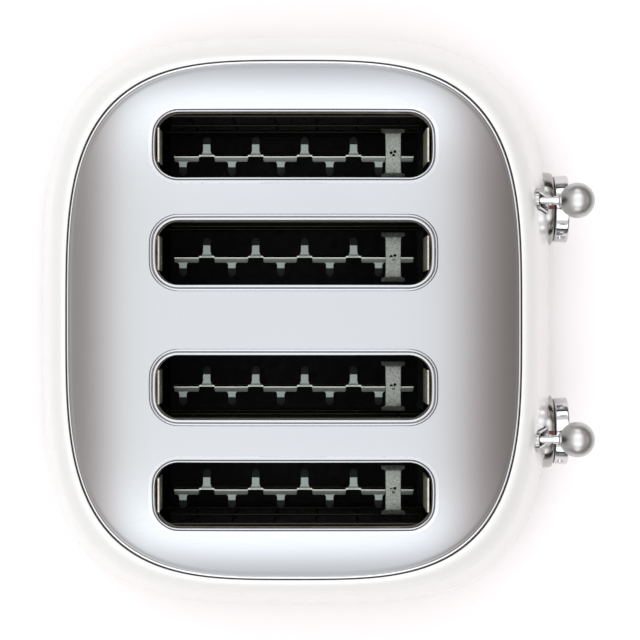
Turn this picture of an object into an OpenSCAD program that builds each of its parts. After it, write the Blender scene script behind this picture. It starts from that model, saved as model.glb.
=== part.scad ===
// Four-slot pop up toaster, in millimetres.
// +Z is up, the controls face +X, and the slots run along X.
// The origin is at the middle of the object's bounding box, on the table.
// "left" and "right" are as seen by someone facing the controls: left is -Y.

/* [Body] */
// Depth of the body, back to control face, at its widest
body_l = 296; // [290:2:356]
// Width of the body across the slots, at its widest
body_w = 329.4; // [329.4:0.2:396]
// Height of the panel's rim above the table
rim_z = 190; // [186:1:214]
// Height of the body's widest line
wide_z = 47; // [40:1:60]
// Wall of the painted shell
shell_t = 1.2; // [0.8:0.1:2]
// How far the wall leans in from its widest line to the shoulder
lean = 16.5; // [12:0.5:18]
// How far the shoulder turns in, up to the seam around the panel
shoulder = 12.1; // [10:0.1:16]
// Squareness of the plan at its widest, as a superellipse exponent
plan_n = 3.7; // [3.4:0.1:4.4]

/* [Top panel] */
// Gap of the seam around the panel
seam = 1.0; // [0.6:0.1:1.6]
// Rise of the panel's dome over its rim
dome_h = 14; // [8:1:18]
// How late the dome falls towards its rim: 2 is a bowl, more is flatter
dome_power = 3.6; // [2:0.2:5]
// Sheet of the panel
panel_t = 1.0; // [0.8:0.1:1.4]
// Squareness of the panel's plan
panel_n = 3.4; // [3:0.1:4]

/* [Slots] */
// Length of a bread slot
slot_l = 146; // [120:1:150]
// Width of a bread slot
slot_w = 37.4; // [31:0.2:38]
// Corner radius of a bread slot
slot_r = 11; // [8:0.5:15]
// Depth of the slots' flanges below the dome's crown
flange_h = 16; // [15:1:24]
// Distance between the two slots of a pair
slot_pitch = 56.6; // [54:0.2:60]
// Distance of a pair's middle from the body's middle
pair_y = 63.5; // [61:0.5:66]

/* [Racks and levers] */
// Height of the racks at rest
rack_z = 147; // [140:1:150]
// Travel of a lever
travel = 50; // [40:1:52]
// Height of a lever at rest
lever_z = 156; // [150:1:158]
// Distance of a lever and its dial from the body's middle
control_y = 64.8; // [60:0.2:66]
// Diameter of a lever's rod
rod_d = 3.6; // [3:0.1:4]
// Diameter of a lever's ball
ball_d = 19.2; // [16:0.2:21]
// Clear distance from the wall at a lever's rest height to the ball's middle
ball_reach = 21; // [18:0.5:24]
// Diameter of a guide rod
guide_d = 5; // [4:0.1:6]
// Running clearance of a rod in its hole, on the radius
run_fit = 0.05; // [0.02:0.01:0.1]

/* [Controls] */
// Height of the dials
dial_z = 58; // [56:1:60]
// Diameter of a dial's bezel
bezel_d = 43; // [36:0.5:44]
// Diameter of a dial's knob
knob_d = 39.5; // [32:0.5:40]
// Thickness of a dial's knob
knob_t = 8.4; // [6:0.2:12]
// Diameter of a dial's shaft
shaft_d = 6; // [5:0.1:7.2]
// Height of the row of buttons
button_z = 89; // [88:1:90]
// Diameter of a button
button_d = 6; // [5:0.1:7]
// Distance between two buttons
button_pitch = 13; // [11:0.5:14]
// Width of a lever slot's frame
frame_w = 10; // [7.5:0.1:11]
// Bottom of a lever slot's frame
frame_z0 = 100; // [99:1:102]
// Top of a lever slot's frame
frame_z1 = 170; // [166:1:172]

/* [Base] */
// Height of the feet
foot_h = 6; // [4:0.5:10]
// Diameter of a foot
foot_d = 24; // [18:1:28]
// Thickness of the bottom plate
plate_t = 1.2; // [1:0.1:2]
// Height of the shell's lower edge
skirt_z = 16; // [15.5:0.5:20]

/* [Hidden] */
$fn = 48;

left = -1;
right = 1;
plan_points = 80;
eps = 0.02;
gap = 0.3;

// The wall's outer line: how far it lies inside the widest outline at height z
tuck = 3;
shoulder_z = rim_z - 20;
seam_inset = lean + shoulder;
function wall_inset(z) =
    z < wide_z ? tuck * pow((wide_z - z) / (wide_z - 15), 2)
               : lean * pow((z - wide_z) / (shoulder_z - wide_z), 1.41);
// The shoulder starts along the wall's lean and ends flat at the seam
shoulder_run = 3.8;
function shoulder_point(a) = [
    lean + shoulder_run * sin(a) + (shoulder - seam - shoulder_run) * (1 - cos(a)),
    shoulder_z + (rim_z - shoulder_z) * sin(a)
];
// Squareness falls from the plan's to the panel's as the outline closes in
function plan_power(inset) =
    plan_n + (panel_n - plan_n) * min(1, max(0, inset / seam_inset));
// Where the outer wall stands, in X, at a place across the body and a height
function wall_x(y, z) =
    let (i = wall_inset(z), n = plan_power(i))
    (body_l / 2 - i) * pow(1 - pow(abs(y) / (body_w / 2 - i), n), 1 / n);

function outline(inset, n) = [
    for (k = [0 : plan_points - 1])
        let (
            t = 360 * k / plan_points,
            a = body_l / 2 - inset,
            b = body_w / 2 - inset,
            r = pow(pow(abs(cos(t)) / a, n) + pow(abs(sin(t)) / b, n), -1 / n)
        )
        [r * cos(t), r * sin(t)]
];
function ring_points(p) = [for (q = outline(p[0], plan_power(p[0]))) [q[0], q[1], p[1]]];
function ring_faces(r0, r1) = [
    for (k = [0 : plan_points - 1])
        let (
            k2 = (k + 1) % plan_points,
            a = r0 * plan_points + k, b = r0 * plan_points + k2,
            c = r1 * plan_points + k2, d = r1 * plan_points + k
        )
        each [[a, c, b], [a, d, c]]
];

// Controls
frame_mid_z = (frame_z0 + frame_z1) / 2;
frame_lean = atan((wall_x(control_y, frame_z0) - wall_x(control_y, frame_z1))
                  / (frame_z1 - frame_z0));
frame_wall = 1.6;
frame_proud = 1.5;
frame_depth = 6.5;
hole_gap = 0.15;
ball_x = wall_x(control_y, lever_z) + ball_reach;
bezel_x = wall_x(control_y, dial_z) + 2.6;
bezel_depth = 11;
bezel_face_t = 3;
knob_x = bezel_x + 0.6;
knob_wall = 2.8;
grub_d = 3;
grub_angle = 60;
button_proud = 1.8;
button_travel = 1.2;

// Toasting core
bulkhead_x = 76;
bulkhead_t = 1.2;
bulkhead_z0 = 17;
bulkhead_z1 = 178;
bulkhead_y = pair_y + slot_pitch + 9;
leg_w = 8;
shelf_l = 24;
shelf_y = pair_y + 28;
board_t = 0.8;
board_z0 = 60;
board_z1 = 174;
ribbon_rows = 9;
guard_y = slot_w / 2 - 1.1;
guard_d = 1.6;
guard_pin_d = 2;
guard_z0 = 62;
guard_mid_z = 107;
guard_z1 = 168;
guard_pitch = 23;
plate_z = foot_h;
floor_z = plate_z + plate_t;

// Rack, carriage and what stands in front of the core
rack_front = 65;
rack_rear = -66;
rack_depth = 10;
strip_t = 1.2;
tab_pitch = 26.7;
tab_w = 4.6;
tab_l = 9;
tab_t = 0.8;
tongue_h = 6;
tongue_z = rack_z - rack_depth;
// The racks' strips stand a little to one side of their slots' middles
rack_shift = -2.3;
bracket_x = 53.7;
bracket_gap = 0.95;
bracket_l = 2 * (guard_y - guard_d / 2 - bracket_gap);
carriage_x = 88;
carriage_t = 1.5;
guide_x = 95;
guide_y = 20;
bush_d = guide_d + 4;
bush_h = 18;
armature_z = 132;
pcb_x = 110;
pcb_t = 1.6;
pcb_w = 58;
pot_d = 16;
pot_t = 8;
spring_d = 7;
spring_wire = 0.9;
spring_turns = 10;
spring_off = 10;
spring_z = 150;

// Base
ring_inset = tuck + 0.4;
ring_t = 7;
tray_z = floor_z + 0.8;
tray_h = 6.4;
tray_y0 = 10;
tray_y1 = 112;
tray_t = 0.8;
tray_front = 72;
gland_z = 30;
gland_d = 13.6;
gland_bore = 7.2;
gland_l = 14;
gland_proud = 2.2;

// The bounding box's middle in X, where the origin is
front_x = ball_x + ball_d / 2;
rear_x = -(body_l / 2 + gland_proud);
shift_x = -(front_x + rear_x) / 2;

module placed() { translate([shift_x, 0, 0]) children(); }
// Turns a shape drawn along +Z so that it points along +X
module along_x() { rotate([0, 90, 0]) children(); }
// Both sides of one pair of slots
module each_slot(side) {
    for (k = [-1, 1]) translate([0, side * pair_y + k * slot_pitch / 2, 0]) children();
}
// The middle of slot 1, 2, 3 or 4, counted from the left
function slot_y(i) =
    (i <= 2 ? left : right) * pair_y + (i % 2 == 1 ? -1 : 1) * slot_pitch / 2;

// A solid of stacked outlines, closed top and bottom; p lists [inset, z] upwards
module stack(p) {
    last = (len(p) - 1) * plan_points;
    polyhedron(
        points = [for (q = p) each ring_points(q)],
        faces = concat(
            [[for (k = [0 : plan_points - 1]) k]],
            [for (r = [0 : len(p) - 2]) each ring_faces(r, r + 1)],
            [[for (k = [plan_points - 1 : -1 : 0]) last + k]]
        ),
        convexity = 6
    );
}
// A closed skirt: the profile p goes up the outside and down the inside
module skirt(p) {
    polyhedron(
        points = [for (q = p) each ring_points(q)],
        faces = [for (r = [0 : len(p) - 1]) each ring_faces(r, (r + 1) % len(p))],
        convexity = 10
    );
}
module slab(inset, z, h) {
    translate([0, 0, z]) linear_extrude(h) polygon(outline(inset, plan_power(inset)));
}
module slot_outline(grow) {
    r = slot_r + grow;
    for (mx = [-1, 1]) for (my = [-1, 1])
        translate([mx * (slot_l / 2 - slot_r), my * (slot_w / 2 - slot_r)]) circle(r);
    square([slot_l + 2 * grow, slot_w - 2 * slot_r], center = true);
    square([slot_l - 2 * slot_r, slot_w + 2 * grow], center = true);
}
module stadium(w, l) {
    for (k = [-1, 1]) translate([0, k * (l - w) / 2]) circle(d = w);
    square([w, l - w], center = true);
}
// Places a shape on the leaning front wall, with +Z outwards and +Y up the wall
module on_wall(side) {
    translate([wall_x(control_y, frame_mid_z), side * control_y, frame_mid_z])
        rotate([0, -frame_lean, 0]) rotate([90, 0, 90]) children();
}

// ---- casing ----
ledge_z = rim_z - 3.4;
ledge_w = 8;
module body_shell() color("white") placed() difference() {
    low = [skirt_z, 24, 34, wide_z, 62, 80, 98, 116, 134, 152];
    up = [0, 18, 36, 54, 72, 90];
    skirt(concat(
        [for (z = low) [wall_inset(z), z]],
        [for (a = up) shoulder_point(a)],
        [
            [seam_inset - seam, ledge_z + 0.6],
            [seam_inset + ledge_w, ledge_z + 0.6],
            [seam_inset + ledge_w, ledge_z - 0.6]
        ],
        [[shoulder_point(54)[0] + shell_t + 0.4, ledge_z - 0.6]],
        [for (k = [2 : -1 : 0]) let (p = shoulder_point(up[k])) [p[0] + shell_t, p[1] - 0.4]],
        [for (k = [len(low) - 1 : -1 : 0]) [wall_inset(low[k]) + shell_t, low[k]]]
    ));
    for (side = [left, right]) {
        on_wall(side) translate([0, 0, -9]) linear_extrude(20)
            stadium(frame_w + 2 * hole_gap, frame_z1 - frame_z0 + 2 * hole_gap);
        translate([100, side * control_y, dial_z])
            along_x() cylinder(d = bezel_d + 2 * hole_gap, h = 80);
        for (k = [-1 : 1]) translate([100, side * control_y + k * button_pitch, button_z])
            along_x() cylinder(d = button_d + 2 * hole_gap, h = 80);
    }
    translate([-body_l / 2 - 10, 0, gland_z]) along_x() cylinder(d = gland_d + 0.2, h = 30);
}

dome_rings = [1, 0.97, 0.93, 0.88, 0.8, 0.68, 0.5, 0.16];
function dome_z(share) = rim_z + dome_h * (1 - pow(share, dome_power));
// Inset of a panel ring that is this share of the panel's half depth
function dome_inset(share) = body_l / 2 - share * (body_l / 2 - seam_inset);
module dome(drop, floor) {
    stack(concat(
        [[seam_inset + drop, floor]],
        [for (s = dome_rings)
            [max(seam_inset + drop, dome_inset(s)), dome_z(s) - drop * (s == 1 ? 2 : 1)]]
    ));
}
module top_panel() color("lightsteelblue") placed() difference() {
    dome(0, ledge_z + 0.6);
    difference() {
        dome(panel_t, ledge_z - 5);
        for (side = [left, right]) each_slot(side)
            translate([0, 0, rim_z + dome_h - flange_h]) linear_extrude(60) slot_outline(panel_t);
    }
    for (side = [left, right]) each_slot(side)
        translate([0, 0, rim_z - 40]) linear_extrude(80) slot_outline(0);
}

module base_ring() color("silver") placed() difference() {
    slab(ring_inset, floor_z, skirt_z - floor_z);
    translate([0, 0, -1]) slab(ring_inset + ring_t, floor_z, skirt_z - floor_z + 2);
    for (side = [left, right]) tray_space(side, gap);
    screw_places() translate([0, 0, floor_z - 1]) cylinder(d = 3.4, h = 20);
}
module base_plate() color("gray") placed() difference() {
    slab(ring_inset + 0.6, plate_z, plate_t);
    for (side = [left, right]) for (k = [-3 : 3])
        translate([k * 18 - 2, side * 61 - 30, plate_z - 1]) cube([4, 60, plate_t + 2]);
    screw_places() translate([0, 0, plate_z - 1]) cylinder(d = 3.4, h = 20);
}
// Screws stand in the middle of the ring's wall, at the four sides' middles
module screw_places() {
    x = body_l / 2 - ring_inset - ring_t / 2;
    y = body_w / 2 - ring_inset - ring_t / 2;
    for (k = [-1, 1]) {
        translate([x - 0.6, k * 50, 0]) children();
        translate([k * 50, y - 0.6, 0]) children();
        translate([k * 50, -y + 0.6, 0]) children();
    }
    translate([-x + 0.1, 0, 0]) children();
}
module screws() color("dimgray") placed() screw_places() union() {
    translate([0, 0, plate_z - 1.8]) cylinder(d = 5.5, h = 1.8);
    translate([0, 0, plate_z - eps]) cylinder(d = 3, h = 7);
}
module feet() color("black") placed() for (kx = [-1, 1]) for (ky = [-1, 1])
    translate([kx * (body_l / 2 - 46), ky * (body_w / 2 - 46), 0]) rotate_extrude()
        polygon([[0, 0], [foot_d / 2 - 2, 0], [foot_d / 2 - 1, 1], [foot_d / 2, foot_h],
                 [0, foot_h]]);
module cord_gland() color("black") placed() {
    translate([rear_x, 0, gland_z]) along_x() difference() {
        union() {
            cylinder(d = 19, h = gland_proud - 0.2);
            cylinder(d = gland_d, h = gland_l);
            translate([0, 0, gland_proud + 5]) cylinder(d = 18, h = 4);
        }
        translate([0, 0, -1]) cylinder(d = gland_bore, h = gland_l + 2);
    }
}

// ---- toasting core ----
module bulkhead(end) {
    inner = end * bulkhead_x;
    lo = min(inner, inner + end * bulkhead_t);
    difference() {
        union() {
            translate([lo, -bulkhead_y, bulkhead_z0])
                cube([bulkhead_t, 2 * bulkhead_y, bulkhead_z1 - bulkhead_z0]);
            for (y = [-bulkhead_y, -leg_w / 2, bulkhead_y - leg_w])
                translate([lo, y, floor_z]) cube([bulkhead_t, leg_w, 20]);
            if (end > 0) translate([lo, -shelf_y, bulkhead_z1 - bulkhead_t])
                cube([shelf_l + bulkhead_t, 2 * shelf_y, bulkhead_t]);
        }
        for (side = [left, right]) {
            each_slot(side) {
                translate([lo - 1, rack_shift - strip_t / 2 - gap, tongue_z - travel - 2])
                    cube([4, strip_t + 2 * gap, travel + tongue_h + 4]);
                for (k = [-1, 1]) translate([lo - 1, k * guard_y, guard_z0])
                    along_x() cylinder(d = guard_pin_d + 2 * run_fit, h = 4);
            }
            if (end > 0) for (k = [-1, 1])
                translate([guide_x, side * pair_y + k * guide_y, bulkhead_z1 - 5])
                    cylinder(d = guide_d + 2 * run_fit, h = 10);
        }
    }
}
module front_bulkhead() color("lightgray") placed() bulkhead(1);
module rear_bulkhead() color("lightgray") placed() bulkhead(-1);
module heat_shields() color("silver") placed() for (side = [left, right])
    translate([-bulkhead_x, side * (bulkhead_y - 2) - 0.4, 25])
        cube([2 * bulkhead_x, 0.8, bulkhead_z1 - 25]);
module centre_partition() color("silver") placed() difference() {
    translate([-bulkhead_x, -2, 25]) cube([2 * bulkhead_x, 4, bulkhead_z1 - 25]);
    translate([-bulkhead_x - 1, -1.2, 24]) cube([2 * bulkhead_x + 2, 2.4, bulkhead_z1 - 26]);
}
module mica_boards(side) color("darkolivegreen") placed() for (k = [-1 : 1])
    translate([0, side * pair_y + k * slot_pitch, 0]) {
        translate([-bulkhead_x, -board_t / 2, board_z0])
            cube([2 * bulkhead_x, board_t, board_z1 - board_z0]);
        for (r = [0 : ribbon_rows - 1]) for (f = [-1, 1])
            translate([-66, f * (board_t / 2 + 0.15) - 0.15, board_z0 + 10 + r * 11])
                cube([132, 0.3, 1.5]);
    }
module guide_rods() color("silver") placed() for (side = [left, right]) for (k = [-1, 1])
    translate([guide_x, side * pair_y + k * guide_y, floor_z])
        cylinder(d = guide_d, h = bulkhead_z1 + 1 - floor_z);
module magnet(side) color("darkgoldenrod") placed() {
    top = armature_z - travel - gap;
    translate([guide_x, side * pair_y, 0]) {
        translate([-9, -9, floor_z]) cube([18, 18, top - 30 - floor_z]);
        translate([0, 0, top - 30]) cylinder(d = 20, h = 24);
        translate([0, 0, top - 6]) cylinder(d = 9, h = 6);
    }
}
module control_board(side) color("darkgreen") placed() {
    top = button_z + 8;
    difference() {
        translate([pcb_x, side * control_y - pcb_w / 2, floor_z])
            cube([pcb_t, pcb_w, top - floor_z]);
        translate([pcb_x - 1, side * control_y, dial_z])
            along_x() cylinder(d = shaft_d + 1, h = 4);
    }
    for (k = [-1 : 1]) {
        reach = button_back(side * k) - button_travel - gap;
        translate([pcb_x + pcb_t, side * control_y + k * button_pitch, button_z]) {
            translate([0, -3, -3]) cube([5, 6, 6]);
            along_x() cylinder(d = 3, h = reach - pcb_x - pcb_t);
        }
    }
    translate([pcb_x + pcb_t, side * control_y - 22, 16]) cube([9, 44, 14]);
}
module potentiometers() color("steelblue") placed() for (side = [left, right])
    translate([pcb_x + pcb_t, side * control_y, dial_z]) along_x() difference() {
        union() {
            cylinder(d = pot_d, h = pot_t);
            translate([0, 0, pot_t - 1]) cylinder(d = 9, h = 8);
        }
        translate([0, 0, -1]) cylinder(d = shaft_d + 2 * run_fit, h = 30);
    }

// ---- front trim ----
module lever_frame(side) color("silver") placed() on_wall(side)
    translate([0, 0, frame_proud - frame_depth]) linear_extrude(frame_depth) difference() {
        stadium(frame_w, frame_z1 - frame_z0);
        stadium(frame_w - 2 * frame_wall, frame_z1 - frame_z0 - 2 * frame_wall);
    }
module dial_bezel(side) color("lightgray") placed()
    translate([bezel_x - bezel_depth, side * control_y, dial_z]) along_x() rotate_extrude()
        polygon([
            [5, bezel_depth - bezel_face_t], [bezel_d / 2 - 3, bezel_depth - bezel_face_t],
            [bezel_d / 2 - 3, 0], [bezel_d / 2, 0], [bezel_d / 2, bezel_depth - 0.6],
            [bezel_d / 2 - 0.6, bezel_depth], [5, bezel_depth]
        ]);

// ---- racks, carriage, lever ----
module tab(side) {
    mirror([0, side < 0 ? 1 : 0, 0]) {
        linear_extrude(tab_t) {
            polygon([[-tab_w * 0.8, 0], [tab_w * 0.8, 0], [tab_w / 2, 3],
                     [tab_w / 2, tab_l], [-tab_w / 2, tab_l], [-tab_w / 2, 3]]);
            translate([0, tab_l]) circle(d = tab_w);
        }
    }
}
module bread_rack(i) color("silver") placed() {
    translate([0, slot_y(i) + rack_shift, 0]) {
        translate([rack_rear, -strip_t / 2, rack_z - rack_depth])
            cube([rack_front - rack_rear, strip_t, rack_depth]);
        translate([rack_rear - 16, -strip_t / 2, tongue_z])
            cube([carriage_x - rack_rear + 16, strip_t, tongue_h]);
        for (t = [0 : 4]) translate([-61 + t * tab_pitch, 0, rack_z - tab_t]) tab(-1);
        for (t = [0 : 3]) translate([-48 + t * tab_pitch, 0, rack_z - tab_t]) tab(1);
    }
}
module cross_brackets(side) color("lightgray") placed() each_slot(side) {
    translate([bracket_x, 0, rack_z]) {
        linear_extrude(1) union() {
            square([8.4, bracket_l], center = true);
            for (m = [-1, 1]) translate([0, m * (bracket_l / 2 - 2.5)])
                square([13, 5], center = true);
        }
        translate([0, 0, 1]) cylinder(d = 4.4, h = 0.8);
    }
}
module carriage(side) color("silver") placed() translate([0, side * pair_y, 0]) {
    half = slot_pitch / 2 + 6;
    difference() {
        union() {
            translate([carriage_x, -half, armature_z]) cube([carriage_t, 2 * half, 28]);
            translate([carriage_x, -12, armature_z]) cube([guide_x - carriage_x + 8, 24, 3]);
            translate([carriage_x, -side * spring_off - 4, spring_z - 2])
                cube([guide_x - carriage_x + 7, 8, 2]);
            for (m = [-1, 1]) translate([guide_x, m * guide_y, armature_z + 5])
                cylinder(d = bush_d, h = bush_h);
            for (m = [-1, 1]) translate([carriage_x, m * guide_y - 3, armature_z + 8])
                cube([guide_x - carriage_x, 6, 12]);
        }
        for (m = [-1, 1]) translate([guide_x, m * guide_y, 0])
            cylinder(d = guide_d + 2 * run_fit, h = 300);
    }
}
module lever_rod(side) color("silver") placed()
    translate([carriage_x + carriage_t, side * control_y, lever_z]) along_x() {
        cylinder(d = rod_d, h = ball_x - carriage_x - carriage_t);
        cylinder(d = 7, h = 3);
        translate([0, 0, ball_x - ball_d / 2 - 3.4 - carriage_x - carriage_t])
            cylinder(d = 4.6, h = 2.8);
    }
module ball_knob(side) color("gainsboro") placed()
    translate([ball_x, side * control_y, lever_z]) difference() {
        union() {
            sphere(d = ball_d, $fn = 64);
            translate([-ball_d / 2 - 0.5, 0, 0]) along_x() cylinder(d = 7.4, h = 2);
        }
        translate([-ball_d, 0, 0]) along_x() cylinder(d = rod_d + 0.04, h = ball_d);
    }
function coil(a, z0, pitch) = [
    spring_d / 2 * cos(a), spring_d / 2 * sin(a), z0 + pitch * a / 360
];
module return_spring(side) color("gray") placed() {
    z0 = spring_z + spring_wire / 2 + 0.1;
    z1 = bulkhead_z1 - bulkhead_t - spring_wire / 2 - 0.1;
    steps = 12;
    sides = 6;
    n = spring_turns * steps;
    translate([guide_x + 2.5, side * (pair_y - spring_off), 0]) polyhedron(
        points = [for (k = [0 : n]) let (
                c = coil(360 * k / steps, z0, (z1 - z0) / spring_turns),
                out = [cos(360 * k / steps), sin(360 * k / steps), 0]
            ) for (m = [0 : sides - 1])
                c + spring_wire / 2 * (cos(360 * m / sides) * out
                                       + [0, 0, sin(360 * m / sides)])],
        faces = concat(
            [[for (m = [sides - 1 : -1 : 0]) m]],
            [for (k = [0 : n - 1]) for (m = [0 : sides - 1]) let (
                    a = k * sides + m, b = k * sides + (m + 1) % sides,
                    c = b + sides, d = a + sides
                ) each [[a, b, c], [a, c, d]]],
            [[for (m = [0 : sides - 1]) n * sides + m]]
        ));
}
// The hinged grid at one side of slot i; it leans in about its bottom wire
module guard(i, k) color("gray") placed()
    translate([0, slot_y(i) + k * guard_y, 0]) {
        translate([-bulkhead_x - 3, 0, guard_z0]) along_x()
            cylinder(d = guard_pin_d, h = 2 * bulkhead_x + 6);
        for (z = [guard_mid_z, guard_z1]) translate([-70, 0, z]) along_x()
            cylinder(d = guard_d, h = 140);
        for (m = [0 : 5]) translate([-57 + m * guard_pitch, k * 1.2, guard_z0])
            cylinder(d = guard_d, h = guard_z1 - guard_z0);
    }

// ---- dials and buttons ----
module dial_shaft(side) color("silver") placed()
    translate([pcb_x + pcb_t + 1, side * control_y, dial_z])
        along_x() cylinder(d = shaft_d, h = knob_x + knob_t - knob_wall - pcb_x - pcb_t - 1);
module grub_axis(side) {
    translate([knob_x + 3.6, side * control_y, dial_z]) rotate([grub_angle, 0, 0]) children();
}
module dial_knob(side) color("gainsboro") placed() difference() {
    translate([knob_x, side * control_y, dial_z]) along_x() rotate_extrude() polygon([
        [0, 0], [knob_d / 2 - 0.8, 0], [knob_d / 2, 0.8], [knob_d / 2, knob_t - 1.4],
        [knob_d / 2 - 0.4, knob_t - 0.4], [knob_d / 2 - 1.4, knob_t], [0, knob_t]
    ]);
    translate([knob_x - 1, side * control_y, dial_z]) along_x()
        cylinder(d = shaft_d + 0.04, h = knob_t - knob_wall + 1);
    grub_axis(side) cylinder(d = grub_d + 0.1, h = knob_d);
}
module grub_screw(side) color("dimgray") placed() grub_axis(side)
    translate([0, 0, shaft_d / 2 + 0.02]) difference() {
        cylinder(d = grub_d, h = 8);
        translate([0, 0, 6]) cylinder(d = 1.5, h = 5, $fn = 6);
    }
// Inner end of a button's stem, and the wall in front of it
function button_wall(k) = wall_x(control_y + k * button_pitch, button_z);
function button_back(k) = button_wall(k) - 14;
module button(side, m) color("gainsboro") placed() {
    k = m - 2;
    front = button_wall(side * k) + button_proud;
    translate([button_back(side * k), side * control_y + k * button_pitch, button_z]) along_x() {
        cylinder(d = 4, h = 8);
        translate([0, 0, 7]) cylinder(d = 8.5, h = 2);
        translate([0, 0, 8]) cylinder(d = button_d, h = front - button_back(side * k) - 8.5);
        translate([0, 0, 9]) cylinder(d = button_d - 1, h = front - button_back(side * k) - 9);
    }
}

// ---- crumb trays ----
module tray_box(side, grow, z0, h, front) {
    w = tray_y1 - tray_y0 + 2 * grow;
    mid = side * (tray_y0 + tray_y1) / 2;
    translate([-body_l / 2 - 10, mid - w / 2, z0]) cube([body_l / 2 + 10 + front, w, h]);
}
module tray_space(side, grow) {
    tray_box(side, grow, floor_z + 0.4, tray_h + 0.8, 0);
}
module crumb_tray(side) color("silver") placed() {
    difference() {
        intersection() {
            tray_box(side, 0, tray_z, tray_h, tray_front);
            slab(ring_inset + 0.2, tray_z - 1, tray_h + 2);
        }
        intersection() {
            tray_box(side, -tray_t, tray_z + tray_t, tray_h, tray_front - tray_t);
            slab(ring_inset + 0.2 + 1.4, tray_z + tray_t, tray_h);
        }
    }
    x = wall_x(61, skirt_z) - 0.4;
    translate([-x - 3.2, side * 61 - 20, tray_z + 1]) cube([3, 40, tray_h - 2]);
}

body_shell();
top_panel();
base_ring();
base_plate();
feet();
screws();
cord_gland();
front_bulkhead();
rear_bulkhead();
heat_shields();
centre_partition();
guide_rods();
mica_boards(left);  // mica_boards_left
mica_boards(right);  // mica_boards_right
magnet(left);  // magnet_left
magnet(right);  // magnet_right
control_board(left);  // control_board_left
control_board(right);  // control_board_right
potentiometers();
lever_frame(left);  // lever_frame_left
lever_frame(right);  // lever_frame_right
dial_bezel(left);  // dial_bezel_left
dial_bezel(right);  // dial_bezel_right
for (i = [1 : 4]) bread_rack(i);
cross_brackets(left);  // cross_brackets_left
cross_brackets(right);  // cross_brackets_right
carriage(left);  // carriage_left
carriage(right);  // carriage_right
lever_rod(left);  // lever_rod_left
lever_rod(right);  // lever_rod_right
ball_knob(left);  // ball_knob_left
ball_knob(right);  // ball_knob_right
return_spring(left);  // return_spring_left
return_spring(right);  // return_spring_right
for (i = [1 : 4]) {
    guard(i, left);
    guard(i, right);
}
dial_shaft(left);  // dial_shaft_left
dial_shaft(right);  // dial_shaft_right
dial_knob(left);  // dial_knob_left
dial_knob(right);  // dial_knob_right
grub_screw(left);  // grub_screw_left
grub_screw(right);  // grub_screw_right
for (i = [1 : 3]) button(left, i);
for (i = [1 : 3]) button(right, i);
crumb_tray(left);  // crumb_tray_left
crumb_tray(right);  // crumb_tray_right
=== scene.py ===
# %% [markdown]
# # A four-slot pop up toaster
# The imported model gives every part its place, its size and its motion. This lesson
# adds the looks: smooth pressed sheet, chrome trim, galvanised racks and a studio.

# %% Load the frame
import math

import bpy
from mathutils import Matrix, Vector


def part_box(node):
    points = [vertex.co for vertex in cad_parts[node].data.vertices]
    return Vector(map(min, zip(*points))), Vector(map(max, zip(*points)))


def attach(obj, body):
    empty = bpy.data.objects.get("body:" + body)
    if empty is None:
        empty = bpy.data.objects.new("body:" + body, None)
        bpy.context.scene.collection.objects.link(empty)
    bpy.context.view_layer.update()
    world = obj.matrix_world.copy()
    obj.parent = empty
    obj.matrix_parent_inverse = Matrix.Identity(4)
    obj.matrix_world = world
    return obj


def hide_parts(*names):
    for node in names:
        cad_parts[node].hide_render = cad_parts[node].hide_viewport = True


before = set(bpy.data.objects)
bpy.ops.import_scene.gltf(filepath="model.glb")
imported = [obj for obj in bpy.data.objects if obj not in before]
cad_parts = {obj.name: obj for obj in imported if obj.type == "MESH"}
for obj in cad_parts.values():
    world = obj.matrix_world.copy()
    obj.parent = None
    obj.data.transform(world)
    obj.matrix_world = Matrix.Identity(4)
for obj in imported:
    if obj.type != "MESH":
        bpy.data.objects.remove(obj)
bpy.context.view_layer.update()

# %% [markdown]
# All sizes below are written in millimetres, as on a drawing, and turned into metres
# by one factor. The places of the parts are read from the frame.

MM = 0.001


def mm_box(node):
    """Lowest and highest corner of a CAD node, in millimetres."""
    lo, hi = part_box(node)
    return [c / MM for c in lo], [c / MM for c in hi]


SHELL_LO, SHELL_HI = mm_box("body_shell")
MID_X = (SHELL_LO[0] + SHELL_HI[0]) / 2
HALF_L = (SHELL_HI[0] - SHELL_LO[0]) / 2
HALF_W = (SHELL_HI[1] - SHELL_LO[1]) / 2
print("body", round(2 * HALF_L, 1), "x", round(2 * HALF_W, 1), "mm, middle at x", round(MID_X, 2))

# %% [markdown]
# A material is a small graph of nodes. One function adds any node with its settings
# and its links, and one turns a colour as a painter writes it into linear light.

# %% Node helpers


def hex_linear(text):
    """Turns an sRGB colour such as "#f2f3f1" into linear RGBA."""
    channels = [int(text[i : i + 2], 16) / 255 for i in (1, 3, 5)]
    linear = [c / 12.92 if c <= 0.04045 else ((c + 0.055) / 1.055) ** 2.4 for c in channels]
    return (*linear, 1.0)


def add_node(tree, kind, settings=None, links=None):
    """Adds a node. settings are properties or socket values, links are sockets to join."""
    node = tree.nodes.new(kind)
    for key, value in (settings or {}).items():
        if isinstance(key, int) or key in node.inputs:
            node.inputs[key].default_value = value
        else:
            setattr(node, key, value)
    for key, source in (links or {}).items():
        tree.links.new(source, node.inputs[key])
    return node


def new_material(name, settings):
    """A material with a Principled shader whose uniform values are set on its sockets."""
    material = bpy.data.materials.new(name)
    material.use_nodes = True
    tree = material.node_tree
    shader = tree.nodes["Principled BSDF"]
    for key, value in settings.items():
        shader.inputs[key].default_value = value
    return material, tree, shader


def object_place(tree, scale=(1, 1, 1)):
    """Object coordinates, stretched by scale, so that a pattern stays on its piece."""
    coordinates = add_node(tree, "ShaderNodeTexCoord")
    mapping = add_node(
        tree, "ShaderNodeMapping", {"Scale": scale}, {"Vector": coordinates.outputs["Object"]}
    )
    return mapping.outputs["Vector"]


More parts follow.
